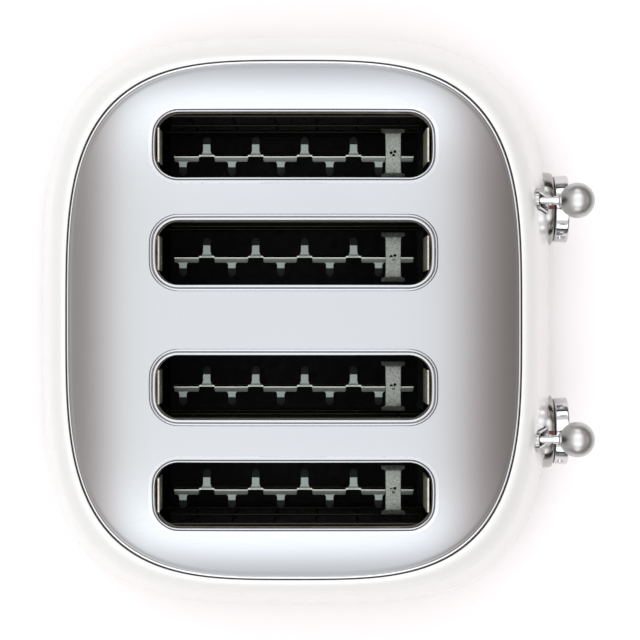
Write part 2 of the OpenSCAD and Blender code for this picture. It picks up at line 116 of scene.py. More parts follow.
def blend_colours(tree, factor, low, high):
    """A colour ramp from one hex colour to another."""
    ramp = add_node(tree, "ShaderNodeValToRGB", None, {"Fac": factor})
    ramp.color_ramp.elements[0].color = hex_linear(low)
    ramp.color_ramp.elements[1].color = hex_linear(high)
    return ramp.outputs["Color"]


def ramp_colours(tree, factor, stops):
    """A colour ramp through many (place, hex) stops."""
    ramp = add_node(tree, "ShaderNodeValToRGB", None, {"Fac": factor})
    elements = ramp.color_ramp.elements
    while len(elements) < len(stops):
        elements.new(0.5)
    for element, (place, _) in zip(elements, stops):
        element.position = place
    for element, (_, colour) in zip(elements, stops):
        element.color = hex_linear(colour)
    return ramp.outputs["Color"]


def spread(tree, factor, low, high):
    """Spreads a 0 to 1 pattern over a range of values."""
    ranged = add_node(tree, "ShaderNodeMapRange", {"To Min": low, "To Max": high}, {"Value": factor})
    return ranged.outputs["Result"]


def bump(tree, shader, height, depth_mm):
    """Raises the surface by a pattern that is depth_mm high."""
    node = add_node(
        tree, "ShaderNodeBump", {"Strength": 1.0, "Distance": depth_mm * MM}, {"Height": height}
    )
    tree.links.new(node.outputs["Normal"], shader.inputs["Normal"])


# %% [markdown]
# The wrap is drawn steel sprayed with a white gloss enamel. Sprayed enamel is never
# quite flat: it dries with an orange peel of waves a few millimetres long. One noise
# of that size moves the colour, the roughness and a very shallow bump. A clear coat on
# the shader adds gloss.

# %% White enamel


def white_enamel():
    material, tree, shader = new_material(
        "white_gloss_enamel",
        {"Metallic": 0.0, "Coat Weight": 0.4, "Coat Roughness": 0.06, "IOR": 1.5},
    )
    peel_wave = 3.0
    peel = add_node(
        tree, "ShaderNodeTexNoise", {"Scale": 1 / (peel_wave * MM), "Detail": 2.0},
        {"Vector": object_place(tree)},
    )
    colour = blend_colours(tree, peel.outputs["Fac"], "#ebedeb", "#eeefed")
    tree.links.new(colour, shader.inputs["Base Color"])
    tree.links.new(spread(tree, peel.outputs["Fac"], 0.26, 0.32), shader.inputs["Roughness"])
    bump(tree, shader, peel.outputs["Fac"], 0.002)
    return material


# %% [markdown]
# The top is stainless sheet, satin finished along the slots. The finish is a field of
# fine parallel scratches: noise squeezed across the slots and stretched along them.
# Here they are 0.3 to 0.4 mm wide, much wider than real ones, so that they show at all.
# Turned parts have a stretch of 1, which gives an even grain without a direction.

# %% Satin stainless


def satin_steel(name, low, high, roughness, grain=0.5, depth=0.004, stretch=60.0):
    material, tree, shader = new_material(name, {"Metallic": 1.0})
    along = 1 / (grain * stretch * MM)
    across = 1 / (grain * MM)
    scratches = add_node(
        tree, "ShaderNodeTexNoise", {"Scale": 1.0, "Detail": 3.0, "Roughness": 0.6},
        {"Vector": object_place(tree, (along, across, across))},
    )
    patches = add_node(
        tree, "ShaderNodeTexNoise", {"Scale": 9.0, "Detail": 2.0}, {"Vector": object_place(tree)}
    )
    colour = blend_colours(tree, patches.outputs["Fac"], low, high)
    tree.links.new(colour, shader.inputs["Base Color"])
    tree.links.new(
        spread(tree, scratches.outputs["Fac"], roughness - 0.04, roughness + 0.05),
        shader.inputs["Roughness"],
    )
    bump(tree, shader, scratches.outputs["Fac"], depth)
    return material


# %% [markdown]
# Chrome plate is a mirror. Only faint handling marks break it, so a soft noise moves
# its roughness a little and nothing else.

# %% Chrome plate


def chrome_plate():
    material, tree, shader = new_material("chrome_plate", {"Metallic": 1.0})
    marks = add_node(
        tree, "ShaderNodeTexNoise", {"Scale": 90.0, "Detail": 4.0}, {"Vector": object_place(tree)}
    )
    colour = blend_colours(tree, marks.outputs["Fac"], "#c4c4c3", "#cecfd0")
    tree.links.new(colour, shader.inputs["Base Color"])
    tree.links.new(spread(tree, marks.outputs["Fac"], 0.05, 0.11), shader.inputs["Roughness"])
    return material


# %% [markdown]
# The racks, brackets and plates inside are galvanised. Molten zinc freezes into flat
# crystals, the spangle. Voronoi cells give the crystals, 2.2 mm wide here and 0.9 mm
# on the cross brackets, and a fine noise gives the white specks between them.

# %% Galvanised sheet


def galvanised(name, dark, light, crystal=2.2):
    material, tree, shader = new_material(name, {"Metallic": 0.75})
    place = object_place(tree)
    cells = add_node(tree, "ShaderNodeTexVoronoi", {"Scale": 1 / (crystal * MM)}, {"Vector": place})
    specks = add_node(
        tree, "ShaderNodeTexNoise", {"Scale": 1 / (0.6 * MM), "Detail": 3.0}, {"Vector": place}
    )
    grey = add_node(tree, "ShaderNodeRGBToBW", None, {"Color": cells.outputs["Color"]})
    mixed = add_node(
        tree, "ShaderNodeMath", {"operation": "MULTIPLY_ADD", 1: 0.45},
        {0: grey.outputs["Val"], 2: specks.outputs["Fac"]},
    )
    fade = spread(tree, mixed.outputs["Value"], 0.0, 1.0)
    fade.node.inputs["From Min"].default_value = 0.35
    fade.node.inputs["From Max"].default_value = 1.0
    tree.links.new(blend_colours(tree, fade, dark, light), shader.inputs["Base Color"])
    tree.links.new(spread(tree, grey.outputs["Val"], 0.38, 0.58), shader.inputs["Roughness"])
    bump(tree, shader, mixed.outputs["Value"], 0.02)
    return material


# %% [markdown]
# What is left is small: drawn wire that the heat has browned, mica board, moulded
# rubber and plastic, blacked screws and the red enamel of the index mark. Each is a
# base colour moved by a noise of the size of its own grain.

# %% Small materials


def grained(name, low, high, grain, roughness, metallic=0.0, depth=0.02, stretch=(1, 1, 1)):
    material, tree, shader = new_material(name, {"Metallic": metallic})
    scale = tuple(s / (grain * MM) for s in stretch)
    noise = add_node(
        tree, "ShaderNodeTexNoise", {"Scale": 1.0, "Detail": 4.0},
        {"Vector": object_place(tree, scale)},
    )
    tree.links.new(blend_colours(tree, noise.outputs["Fac"], low, high), shader.inputs["Base Color"])
    tree.links.new(
        spread(tree, noise.outputs["Fac"], roughness - 0.08, roughness + 0.08),
        shader.inputs["Roughness"],
    )
    bump(tree, shader, noise.outputs["Fac"], depth)
    return material


ENAMEL = white_enamel()
# The seam's dark line is painted shade: a near-black strip stands in for the shadow in the gap.
SEAM_GAP_SHADE = grained("seam_gap_painted_shade", "#050505", "#0b0b0b", 0.5, 0.8)
PANEL_STEEL = satin_steel(
    "satin_stainless_panel", "#a3a5a7", "#abadaf", 0.22, grain=0.4, depth=0.0012
)
LIP_STEEL = satin_steel("burnished_slot_lip", "#a8a9ab", "#b3b4b6", 0.13, grain=0.3, depth=0.001)
BEZEL_STEEL = satin_steel("satin_chrome_ring", "#9c9c99", "#a9a9a7", 0.13, grain=0.3, stretch=1.0)
BALL_CHROME = satin_steel(
    "satin_chrome_ball", "#b8b8b7", "#c2c2c2", 0.34, grain=0.3, depth=0.001, stretch=1.0
)
CHROME = chrome_plate()
GALVANISED = galvanised("galvanised_sheet", "#262826", "#494e4a")
# Near-black sheet for the parts seen deep in the slots: painted shade for the dark inside of the
# body.
INNER_SHADE_SHEET = galvanised("inner_sheet_painted_shade", "#070807", "#141512")
LINER = galvanised("bright_liner_sheet", "#a29d8f", "#d2cec1")
BRACKET_ZINC = galvanised("spangled_zinc_bracket", "#6a726a", "#bec3bb", crystal=0.9)
# One rack sheet in two colours: a darker copy on the slopes and tabs is the steel's grey plus
# painted shade, a light copy on the flat top is painted light.
RACK_SLOPE_SHADE = grained("rack_slopes_painted_shade", "#687170", "#969d99", 0.5, 0.36, 0.85)
RACK_TOP_LIT = grained("rack_top_painted_light", "#cfcfc1", "#dfdfd1", 0.6, 0.36, 0.7)
DARK_WIRE = grained("heat_browned_wire", "#272622", "#48463f", 0.7, 0.4, 0.8)
MICA = grained("mica_board", "#15160f", "#26271a", 4.0, 0.55, 0.0, 0.03, (0.3, 1, 1))
RUBBER = grained("moulded_rubber", "#151515", "#232323", 0.5, 0.75)
NYLON = grained("moulded_black_nylon", "#101011", "#1b1b1d", 0.4, 0.5)
BLACKED = grained("blacked_screw_steel", "#0d0d0d", "#1c1c1b", 0.3, 0.4, 0.6)
COPPER = grained("enamelled_copper_coil", "#5a2b12", "#8a4a22", 0.5, 0.35, 0.8, 0.05, (1, 1, 4))
BOARD = grained("solder_masked_board", "#0d3a20", "#14502d", 2.0, 0.4)
RED_ENAMEL = grained("red_index_enamel", "#4e0001", "#6a0303", 0.4, 0.3, 0.0, 0.004)
BRIGHT_STEEL = satin_steel("drawn_bright_steel", "#9c9c9c", "#b4b4b4", 0.22, grain=0.3, stretch=1.0)
print(len(bpy.data.materials), "materials")

# %% [markdown]
# Every CAD node that keeps its own shape takes one of these materials.

# %% Dress the CAD nodes


def dress(piece, material):
    """Gives a whole piece one material."""
    if piece.material_slots:
        for slot in piece.material_slots:
            slot.material = material
    else:
        piece.data.materials.append(material)


CAD_FINISH = {
    GALVANISED: ["screws", "base_plate", "carriage_left", "carriage_right"],
    # These inner parts take the near-black sheet: painted shade inside the slots.
    INNER_SHADE_SHEET: [
        "front_bulkhead", "rear_bulkhead", "heat_shields", "centre_partition",
        "crumb_tray_left", "crumb_tray_right",
    ],
    BRIGHT_STEEL: [
        "guide_rods", "dial_shaft_left", "dial_shaft_right", "return_spring_left",
        "return_spring_right",
    ],
    DARK_WIRE: [f"guard_{i}_{side}" for i in (1, 2, 3, 4) for side in ("left", "right")],
    MICA: ["mica_boards_left", "mica_boards_right"],
    RUBBER: ["feet"],
    NYLON: ["cord_gland", "potentiometers"],
    BLACKED: ["grub_screw_left", "grub_screw_right"],
    COPPER: ["magnet_left", "magnet_right"],
    BOARD: ["control_board_left", "control_board_right"],
    CHROME: ["lever_rod_left", "lever_rod_right"],
}
for finish, names in CAD_FINISH.items():
    for name in names:
        dress(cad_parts[name], finish)

# %% [markdown]
# Pressed sheet is modelled as sheet is made: a flat grid is rolled into a tube and
# its seam is closed. Column by column the grid goes round the piece, and row by row
# it follows the section. A formula says where each crossing lands, so the surface is
# as smooth as the formula, and its two ends can be left open or filled.

# %% Rolling a sheet


def deselect():
    bpy.ops.object.select_all(action="DESELECT")


def close_mesh(piece, fill):
    """Merges the seam, fills open ends if asked, and turns the faces outwards."""
    deselect()
    piece.select_set(True)
    bpy.context.view_layer.objects.active = piece
    bpy.ops.object.mode_set(mode="EDIT")
    bpy.ops.mesh.select_all(action="SELECT")
    bpy.ops.mesh.remove_doubles(threshold=1e-6)
    if fill:
        bpy.ops.mesh.fill_holes(sides=0)
    bpy.ops.mesh.select_all(action="SELECT")
    bpy.ops.mesh.normals_make_consistent(inside=False)
    bpy.ops.object.mode_set(mode="OBJECT")


def rolled_sheet(name, around, rows, place, fill=False, angle=40):
    """A grid of around x rows cells; place(i, j) gives each crossing in millimetres."""
    deselect()
    bpy.ops.mesh.primitive_grid_add(x_subdivisions=around, y_subdivisions=rows - 1, size=1)
    piece = bpy.context.object
    piece.name = name
    piece.data.name = name
    flat = []
    for j in range(rows):
        for i in range(around + 1):
            flat.extend(c * MM for c in place(i % around, j))
    assert len(flat) == 3 * len(piece.data.vertices)
    piece.data.vertices.foreach_set("co", flat)
    piece.data.update()
    close_mesh(piece, fill)
    bpy.ops.object.shade_smooth_by_angle(angle=math.radians(angle))
    return piece


def lathe(name, centre, section, steps=96, angle=40):
    """Turns a section of (x, radius) points about the X axis through centre."""

    def place(i, j):
        turn = 2 * math.pi * i / steps
        x, radius = section[j]
        return (
            centre[0] + x, centre[1] + radius * math.cos(turn), centre[2] + radius * math.sin(turn)
        )

    return rolled_sheet(name, steps, len(section), place, angle=angle)


def cut(piece, cutter):
    """Cuts one closed piece out of another, and removes the cutter."""
    deselect()
    piece.select_set(True)
    bpy.context.view_layer.objects.active = piece
    modifier = piece.modifiers.new("cut", "BOOLEAN")
    modifier.operation = "DIFFERENCE"
    modifier.solver = "EXACT"
    modifier.object = cutter
    bpy.ops.object.modifier_apply(modifier=modifier.name)
    bpy.data.objects.remove(cutter, do_unlink=True)


def smooth(piece, angle):
    """Shades a cut piece smooth again, but for edges sharper than angle degrees."""
    deselect()
    piece.select_set(True)
    bpy.context.view_layer.objects.active = piece
    bpy.ops.object.shade_smooth_by_angle(angle=math.radians(angle))


def arc(centre, radius, start, end, steps):
    """Points of an arc in a section, from one angle to another, in degrees."""
    points = []
    for k in range(steps + 1):
        turn = math.radians(start + (end - start) * k / steps)
        points.append((centre[0] + radius * math.cos(turn), centre[1] + radius * math.sin(turn)))
    return points


# %% [markdown]
# Seen from above the body is a superellipse, the squared circle of the fifties. The
# wall bulges a little above the table, leans in towards the top and turns over in a
# soft shoulder. The same few numbers that shape the CAD wall shape this one.

# %% The body's outline
WIDE_Z = 47.0
TUCK = 3.0
LEAN = 16.5
SHOULDER = 12.1
SHOULDER_RUN = 3.8
RIM_Z = SHELL_HI[2]
SHOULDER_Z = RIM_Z - 20.0
SKIRT_Z = SHELL_LO[2]
SEAM = 1.0
SEAM_INSET = LEAN + SHOULDER
PLAN_POWER = 3.7
PANEL_POWER = 3.4
SHEET = 1.2
AROUND = 288


def wall_inset(z):
    if z < WIDE_Z:
        return TUCK * ((WIDE_Z - z) / (WIDE_Z - 15.0)) ** 2
    return LEAN * ((z - WIDE_Z) / (SHOULDER_Z - WIDE_Z)) ** 1.41


def plan_power(inset):
    return PLAN_POWER + (PANEL_POWER - PLAN_POWER) * min(1.0, max(0.0, inset / SEAM_INSET))


def outline_point(inset, turn, power=None):
    """A point of the outline that lies inset inside the widest one."""
    power = power or plan_power(inset)
    a, b = HALF_L - inset, HALF_W - inset
    radius = (abs(math.cos(turn) / a) ** power + abs(math.sin(turn) / b) ** power) ** (-1 / power)
    return MID_X + radius * math.cos(turn), radius * math.sin(turn)


def wall_x(y, z):
    """Where the front wall stands in X."""
    inset = wall_inset(z)
    power = plan_power(inset)
    share = 1 - (abs(y) / (HALF_W - inset)) ** power
    return MID_X + (HALF_L - inset) * share ** (1 / power)


def wrap(name, section, power=None, around=AROUND):
    """Rolls a closed section of (inset, z) points round the body."""

    def place(i, j):
        inset, z = section[j % len(section)]
        x, y = outline_point(inset, 2 * math.pi * i / around, power)
        return x, y, z

    return rolled_sheet(name, around, len(section) + 1, place)


# %% [markdown]
# The shell's section runs up the outside in 44 even steps, over the shoulder, turns a
# tight 0.7 mm radius into the seam, forms the ledge that carries the panel and comes
# down the inside one sheet's thickness away.

# %% Painted shell


def shell_section():
    steps_up = 44
    rise = [SKIRT_Z + (SHOULDER_Z - SKIRT_Z) * k / steps_up for k in range(steps_up + 1)]
    outer = [(wall_inset(z), z) for z in rise]
    reach = SHOULDER - SEAM - SHOULDER_RUN
    turned = []
    for k in range(1, 19):
        a = math.radians(85 * k / 18)
        turned.append((
            LEAN + SHOULDER_RUN * math.sin(a) + reach * (1 - math.cos(a)),
            SHOULDER_Z + (RIM_Z - SHOULDER_Z) * math.sin(a),
        ))
    edge = SEAM_INSET - SEAM
    lip = arc((edge - 0.7, RIM_Z - 0.75), 0.7, 80, 0, 5)
    ledge_z = RIM_Z - 3.4
    ledge = [(edge, ledge_z), (edge + 9.0, ledge_z), (edge + 9.0, ledge_z - SHEET)]
    inner = [(i + SHEET, z - 0.4) for i, z in turned[:12:3][::-1]]
    down = [(wall_inset(z) + SHEET, z) for z in rise[::-4]]
    return outer + turned + lip + ledge + inner + down


def seam_shade_strip():
    """A near-black strip on the ledge, under the panel's rim: painted shade for the dark gap of the
    seam.
    """
    z = RIM_Z - 3.3
    width, height = 1.6, 1.0
    inset = SEAM_INSET - SEAM + 0.02
    return wrap("seam_painted_shade_strip", [
        (inset, z), (inset, z + height), (inset + width, z + height), (inset + width, z)])


# A near-black strip in the seam gap: painted shade for the dark line between panel and wall.
seam_shade = seam_shade_strip()
dress(seam_shade, SEAM_GAP_SHADE)
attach(seam_shade, "root")
shell = wrap("painted_shell", shell_section())
dress(shell, ENAMEL)
print("shell", len(shell.data.polygons), "faces")

# %% [markdown]
# Openings are cut as a press cuts them: a solid punch of the opening's outline goes
# through the wall. A punch is a flat outline rolled into a prism.

# %% Punch the openings
LEVER_LO, LEVER_HI = mm_box("lever_frame_right")
FRAME_Z0, FRAME_Z1 = 100.0, 170.0
FRAME_W = LEVER_HI[1] - LEVER_LO[1]
CONTROL_Y = (LEVER_HI[1] + LEVER_LO[1]) / 2
FRAME_MID_Z = (FRAME_Z0 + FRAME_Z1) / 2
FRAME_LEAN = math.atan(
    (wall_x(CONTROL_Y, FRAME_Z0) - wall_x(CONTROL_Y, FRAME_Z1)) / (FRAME_Z1 - FRAME_Z0)
)
SIDES = {"left": -1, "right": 1}
PUNCH_STEPS = 64
FRAME_GAP, BEZEL_GAP = 1.1, 1.6
BUTTON_HOLE_D, GLAND_HOLE_D = 6.3, 13.8
FRONT_PUNCH = (MID_X + 100, MID_X + 180)
BACK_PUNCH = (MID_X - 180, MID_X - 120)


def stadium_point(width, length, turn_share):
    """A point of a slot with round ends, long in its second coordinate."""
    radius, straight = width / 2, length - width
    total = 2 * math.pi * radius + 2 * straight
    s = (turn_share % 1.0) * total
    if s < straight:
        return radius, s - straight / 2
    s -= straight
    if s < math.pi * radius:
        return radius * math.cos(s / radius), straight / 2 + radius * math.sin(s / radius)
    s -= math.pi * radius
    if s < straight:
        return -radius, straight / 2 - s
    s -= straight
    return -radius * math.cos(s / radius), -straight / 2 - radius * math.sin(s / radius)


def on_wall(side, across, up, out):
    """A point on the leaning wall behind a lever, out of it along its normal."""
    cos, sin = math.cos(FRAME_LEAN), math.sin(FRAME_LEAN)
    x = wall_x(CONTROL_Y, FRAME_MID_Z) + out * cos - up * sin
    return x, side * CONTROL_Y + across, FRAME_MID_Z + out * sin + up * cos


def stadium_punch(side):
    def place(i, j):
        w, u = stadium_point(
            FRAME_W + FRAME_GAP, FRAME_Z1 - FRAME_Z0 + FRAME_GAP, i / PUNCH_STEPS
        )
        return on_wall(side, w, u, -9.0 + 20.0 * j)

    return rolled_sheet("punch", PUNCH_STEPS, 2, place, fill=True)


def round_punch(x0, x1, y, z, diameter):
    def place(i, j):
        turn = 2 * math.pi * i / PUNCH_STEPS
        return (x0, x1)[j], y + diameter / 2 * math.cos(turn), z + diameter / 2 * math.sin(turn)

    return rolled_sheet("punch", PUNCH_STEPS, 2, place, fill=True)


BEZEL_LO, BEZEL_HI = mm_box("dial_bezel_right")
BEZEL_D = BEZEL_HI[2] - BEZEL_LO[2]
DIAL_Z = (BEZEL_HI[2] + BEZEL_LO[2]) / 2
for side in SIDES.values():
    cut(shell, stadium_punch(side))
    cut(shell, round_punch(*FRONT_PUNCH, side * CONTROL_Y, DIAL_Z, BEZEL_D + BEZEL_GAP))
BUTTONS = [f"button_{side}_{k}" for side in SIDES for k in (1, 2, 3)]
for name in BUTTONS:
    lo, hi = mm_box(name)
    y, z = (lo[1] + hi[1]) / 2, (lo[2] + hi[2]) / 2
    cut(shell, round_punch(*FRONT_PUNCH, y, z, BUTTON_HOLE_D))
GLAND_LO, GLAND_HI = mm_box("cord_gland")
gland_z = (GLAND_LO[2] + GLAND_HI[2]) / 2
cut(shell, round_punch(*BACK_PUNCH, 0.0, gland_z, GLAND_HOLE_D))
smooth(shell, 35)
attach(shell, "root")
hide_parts("body_shell")
print("shell cut,", len(shell.data.polygons), "faces")

# %% [markdown]
# The top panel is one pressing: a dome that is nearly flat over the slots and falls
# away faster near its rim, then a rolled rim that catches a bright line of light.

# %% Domed panel
DOME_H = 14.0
DOME_POWER = 3.6


def dome_share(x, y):
    a, b = HALF_L - SEAM_INSET, HALF_W - SEAM_INSET
    return (abs((x - MID_X) / a) ** PANEL_POWER + abs(y / b) ** PANEL_POWER) ** (1 / PANEL_POWER)


def dome_z(x, y):
    return RIM_Z + DOME_H * (1 - dome_share(x, y) ** DOME_POWER)


PANEL_A, PANEL_B = HALF_L - SEAM_INSET, HALF_W - SEAM_INSET


def panel_rows():
    """Shares of the rim's outline and drops below the dome, from underside to crown."""
    roll = 1.1
    under = [(1 - 2.2 / PANEL_A, -3.2), (1 - 0.5 / PANEL_A, -2.8)]
    rolled = []
    for k in range(9):
        a = math.radians(-20 + 125 * k / 8)
        rolled.append((1 - (roll - roll * math.cos(a)) / PANEL_A, -roll + roll * math.sin(a)))
    inward = [1 - 0.014 - 0.966 * (k / 40) ** 1.15 for k in range(41)]
    return under + rolled + [(s, 0.0) for s in inward]


def dome_panel():
    rows = panel_rows()

    def place(i, j):
        share, drop = rows[j]
        turn = 2 * math.pi * i / AROUND
        power = PANEL_POWER
        c, s = math.cos(turn), math.sin(turn)
        radius = (abs(c / PANEL_A) ** power + abs(s / PANEL_B) ** power) ** (-1 / power)
        x, y = MID_X + share * radius * c, share * radius * s
        return x, y, dome_z(x, y) + drop

    return rolled_sheet("dome_panel", AROUND, len(rows), place, fill=True)


panel = dome_panel()
dress(panel, PANEL_STEEL)

# %% [markdown]
# Each slot has a soft rectangle for an outline: round corners, and ends that bulge by
# 1.6 mm. Its lip is rolled: a fine groove runs round it, and then the sheet turns over
# a small radius. The two inner slots have a second, raised line further out. Inside
# each lip hangs a straight flange, which is a piece of its own.

# %% Slots and their rolled lips
SLOT_L, SLOT_W, SLOT_R = 145.0, 37.4, 12.0
SLOT_BULGE = 1.6
FLANGE_H = 12.0
FLANGE_IN = 1.5
RACKS = [mm_box(f"bread_rack_{i}") for i in (1, 2, 3, 4)]
BRACKETS_LO, BRACKETS_HI = mm_box("cross_brackets_right")
CAD_BRACKET_SPAN = 31.7
PITCH = (BRACKETS_HI[1] - BRACKETS_LO[1]) - CAD_BRACKET_SPAN
PAIR_Y = (BRACKETS_HI[1] + BRACKETS_LO[1]) / 2
SLOT_Y = [s * PAIR_Y + k * PITCH / 2 for s in (-1, 1) for k in (-1, 1)]
SLOT_STEPS = 160


def slot_point(grow, share):
    """A point of a slot's outline, grown outwards by grow, about the slot's middle."""
    radius = SLOT_R + grow
    long_side, short_side = SLOT_L - 2 * SLOT_R, SLOT_W - 2 * SLOT_R
    quarter = math.pi * radius / 2
    runs = [short_side, quarter, long_side, quarter] * 2
    s = (share % 1.0) * sum(runs)
    corners = [(1, 1), (-1, 1), (-1, -1), (1, -1)]
    x = y = 0.0
    for n in range(4):
        side_run, corner_run = runs[2 * n], quarter
        cx, cy = corners[n][0] * long_side / 2, corners[n][1] * short_side / 2
        start = 90.0 * n
        out = math.radians(start)
        if s < side_run:
            along = s - side_run
            x = cx + radius * math.cos(out) - along * math.sin(out)
            y = cy + radius * math.sin(out) + along * math.cos(out)
            break
        s -= side_run
        if s < corner_run:
            turn = out + s / radius
            x, y = cx + radius * math.cos(turn), cy + radius * math.sin(turn)
            break
        s -= corner_run
    end = max(0.0, 1 - (y / (SLOT_W / 2 + grow)) ** 2) * max(0.0, (abs(x) - SLOT_L / 2 + 22) / 22)
    return x + math.copysign(SLOT_BULGE * end, x), y


def slot_punch(y_mid):
    def place(i, j):
        x, y = slot_point(1.4, i / SLOT_STEPS)
        return MID_X + x, y_mid + y, (RIM_Z - 30, RIM_Z + 40)[j]

    return rolled_sheet("punch", SLOT_STEPS, 2, place, fill=True)


def lip_section(raised):
    """Grow and height over the dome, from the panel in to the flange."""
    section = [(1.9, -0.5), (1.85, 0.0)]
    edge = FLANGE_IN
    if raised:
        section += [(1.45, -0.32), (1.05, 0.0), (0.85, 0.12), (0.45, 0.12)]
        edge += 0.5
    section += [(0.25, 0.0), (-0.15, -0.8), (-0.6, -0.05), (-0.75, 0.0)]
    section += arc((0.8 - edge, -0.8), 0.8, 85, 180, 9)
    section += [(-edge, -1.6), (0.5 - edge, -1.6), (1.0, -1.6), (1.9, -1.5)]
    return section


def slot_sheet(name, y_mid, section):
    """Rolls a closed section of (grow, height over the dome) round a slot."""

    def place(i, j):
        grow, height = section[j % len(section)]
        x, y = slot_point(grow, i / SLOT_STEPS)
        top_x, top_y = slot_point(max(grow, 0.0), i / SLOT_STEPS)
        z = dome_z(MID_X + top_x, y_mid + top_y)
        return MID_X + x, y_mid + y, z + height

    return rolled_sheet(name, SLOT_STEPS, len(section) + 1, place)


for index, y_mid in enumerate(SLOT_Y, 1):
    cut(panel, slot_punch(y_mid))
    raised = index in (2, 3)
    lip = slot_sheet(f"slot_lip_{index}", y_mid, lip_section(raised))
    dress(lip, LIP_STEEL)
    inner = -FLANGE_IN - (0.5 if raised else 0.0) + 0.02
    flange = slot_sheet(f"slot_flange_{index}", y_mid, [
        (inner, -1.4), (inner, -FLANGE_H), (inner + 0.8, -FLANGE_H), (inner + 0.8, -1.4)])
    dress(flange, LINER)
    for piece in (lip, flange):
        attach(piece, "root")
smooth(panel, 35)
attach(panel, "root")
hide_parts("top_panel")
print("panel", len(panel.data.polygons), "faces, slots at", [round(y, 1) for y in SLOT_Y])

# %% [markdown]
# The panel's rim is burnished where the roll turns down, and mirrors the sky beside
# it: a line of light round the whole top. It is a fine bead just inside the seam.

# %% Burnished rim bead


def rim_bead():
    section = [(0.62 + 0.62 * math.cos(math.radians(a)), 0.62 * math.sin(math.radians(a)))
               for a in range(0, 360, 30)]

    def place(i, j):
        inward, up = section[j % len(section)]
        share = 1 + (0.35 - inward) / PANEL_A
        turn = 2 * math.pi * i / AROUND
        x, y = outline_point(SEAM_INSET, turn, PANEL_POWER)
        return MID_X + (x - MID_X) * share, y * share, RIM_Z - 0.5 + up

    return rolled_sheet("burnished_rim_bead", AROUND, len(section) + 1, place)


bead = rim_bead()
dress(bead, CHROME)
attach(bead, "root")
print("rim bead", len(bead.data.polygons), "faces")

# %% [markdown]
# Inside each slot the racks wait. A rack is one strip of sheet on edge. Along its top
# the strip is folded over to the left in flat lengths, and tabs stand out of it to
# both sides in turn; each tab is bent down past its middle and has a round tip.
# A bar function sweeps a thin box with softened corners through a list of stations.

# %% Bread racks
RACK_Z = RACKS[0][1][2]
RACK_X0, TAB_PITCH = MID_X - 66.0, 26.7
RACK_X1 = MID_X + 65.0
TAB_X = {-1: [MID_X - 61 + TAB_PITCH * k for k in range(5)],
         1: [MID_X - 48 + TAB_PITCH * k for k in range(4)]}
RACK_Y = [(lo[1] + hi[1]) / 2 for lo, hi in RACKS]


def bar(name, stations, thick):
    """Sweeps a thin softened box. A station is its middle x and half width, and y and z."""
    soft = 0.22

    def place(i, j):
        x, half, y, z = stations[j]
        corners = [(half, -soft), (half - soft, 0), (soft - half, 0), (-half, -soft),
                   (-half, soft - thick), (soft - half, -thick), (half - soft, -thick),
                   (half, soft - thick)]
        dx, dz = corners[i]
        return x + dx, y, z + dz

    return rolled_sheet(name, 8, len(stations), place, fill=True, angle=35)


def rack_tab(x, side, y0):
    """A tab: root, straight part, bend, and a round tip that points down."""
    root, start, fall = (3.2, 3.0, 0.75) if side < 0 else (2.7, 1.2, 0.95)
    drop0 = 0.55 if side < 0 else 0.3
    plan = [(start, root), (start + 0.7, 2.5), (start + 1.4, 2.2), (6.2, 2.15), (6.8, 2.15),
            (8.2, 2.15), (9.1, 2.0), (9.9, 1.6), (10.4, 1.1), (10.7, 0.5)]
    stations = [
        (x, half, y0 + side * y, RACK_Z - drop0 - max(0.0, y - 6.2) * fall)
        for y, half in plan
    ]
    return bar("tab", stations, 0.8)


def joined(name, pieces):
    deselect()
    for piece in pieces:
        piece.select_set(True)
    bpy.context.view_layer.objects.active = pieces[0]
    bpy.ops.object.join()
    pieces[0].name = name
    return pieces[0]


def rack_rail(y0):
    """The strip on edge, its flat folded lengths and their sloping edges."""
    middle, half = (RACK_X0 + RACK_X1) / 2, (RACK_X1 - RACK_X0) / 2
    web = bar("web", [(middle, half, y0 - 0.4, RACK_Z), (middle, half, y0 + 0.4, RACK_Z)], 9.0)
    pieces = [web]
    ends = [RACK_X0] + [x + s for x in TAB_X[1] for s in (-3.9, 3.9)] + [RACK_X1]
    for x0, x1 in zip(ends[::2], ends[1::2]):
        x, half = (x0 + x1) / 2, (x1 - x0) / 2
        pieces.append(bar("fold", [
            (x, half, y0 + 0.4, RACK_Z), (x, half, y0 - 0.4, RACK_Z),
            (x, half - 0.1, y0 - 0.9, RACK_Z - 0.05)], 0.8))
    return joined("rail", pieces)


def rack_slopes(y0):
    """The parts in the darker copy of the rack colour, painted shade where the sheet slopes away:
    sloping edges of the folds, collars and all tabs.
    """
    pieces = []
    ends = [RACK_X0] + [x + s for x in TAB_X[1] for s in (-3.9, 3.9)] + [RACK_X1]
    for x0, x1 in zip(ends[::2], ends[1::2]):
        x, half = (x0 + x1) / 2, (x1 - x0) / 2
        pieces.append(bar("slope", [
            (x, half - 0.1, y0 - 0.8, RACK_Z - 0.1), (x, half - 0.3, y0 - 2.8, RACK_Z - 0.45),
            (x, half - 0.7, y0 - 3.3, RACK_Z - 0.6)], 0.8))
    for x in TAB_X[1]:
        pieces.append(bar("collar", [
            (x, 3.4, y0 - 0.2, RACK_Z + 0.05), (x, 3.2, y0 + 0.7, RACK_Z - 0.05),
            (x, 2.9, y0 + 1.2, RACK_Z - 0.25)], 0.8))
    for side, places in TAB_X.items():
        pieces.extend(rack_tab(x, side, y0) for x in places)
    return joined("slopes", pieces)


def copied(piece, name, dy):
    """A copy with its own mesh, moved sideways in the mesh."""
    twin = piece.copy()
    twin.data = piece.data.copy()
    bpy.context.scene.collection.objects.link(twin)
    twin.name = name
    for vertex in twin.data.vertices:
        vertex.co.y += dy * MM
    return twin


